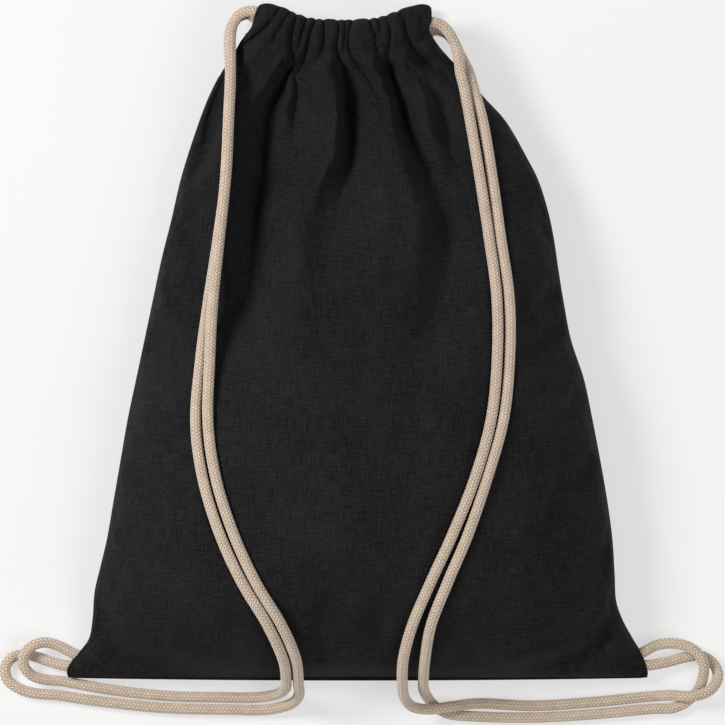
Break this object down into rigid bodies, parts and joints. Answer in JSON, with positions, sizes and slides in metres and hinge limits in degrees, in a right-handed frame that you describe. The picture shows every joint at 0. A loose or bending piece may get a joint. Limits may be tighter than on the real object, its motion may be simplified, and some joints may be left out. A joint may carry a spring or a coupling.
{
  "type": "drawstring backpack",
  "caption": "Soft canvas drawstring backpack lying on its back, softly filled, mouth gathered on two braided cords that are also its shoulder straps.",
  "frame": {"origin": "on the ground under the middle of the bag as it lies on its back, cords left out", "axes": "+Y towards the mouth, +X to the right as seen from above, +Z out of the front panel"},
  "size_m": [0.4719, 0.4668, 0.0915],
  "materials": {
    "black_canvas": "matt plain-weave cotton canvas",
    "canvas_seam": "raw overlocked canvas edge",
    "black_thread": "spun polyester sewing thread",
    "natural_cord": "matt braided cotton cord"
  },
  "bodies": {
    "root": {"front_panel": "black_canvas", "back_panel": "black_canvas", "front_hem": "black_canvas", "back_hem": "black_canvas", "left_side_seam": "canvas_seam", "right_side_seam": "canvas_seam", "bottom_seam": "canvas_seam", "front_hem_stitching": "black_thread", "back_hem_stitching": "black_thread", "left_corner_tack": "black_thread", "right_corner_tack": "black_thread", "left_cord_in_hem": "natural_cord", "right_cord_in_hem": "natural_cord", "left_front_tail": "natural_cord", "left_back_tail": "natural_cord", "right_front_tail": "natural_cord", "right_back_tail": "natural_cord"},
    "left_strap": {"left_front_strand": "natural_cord", "left_back_strand": "natural_cord"},
    "right_strap": {"right_front_strand": "natural_cord", "right_back_strand": "natural_cord"}
  },
  "joints": [
    {"name": "left_strap_swing", "type": "hinge", "parent": "root", "child": "left_strap", "pos_m": [-0.084, 0.2017, 0.031], "axis": [-0.1725, -0.9836, -0.053], "range_deg": [0, 90]},
    {"name": "right_strap_swing", "type": "hinge", "parent": "root", "child": "right_strap", "pos_m": [0.0726, 0.1775, 0.0342], "axis": [-0.2788, 0.9584, 0.0614], "range_deg": [0, 90]}
  ]
}
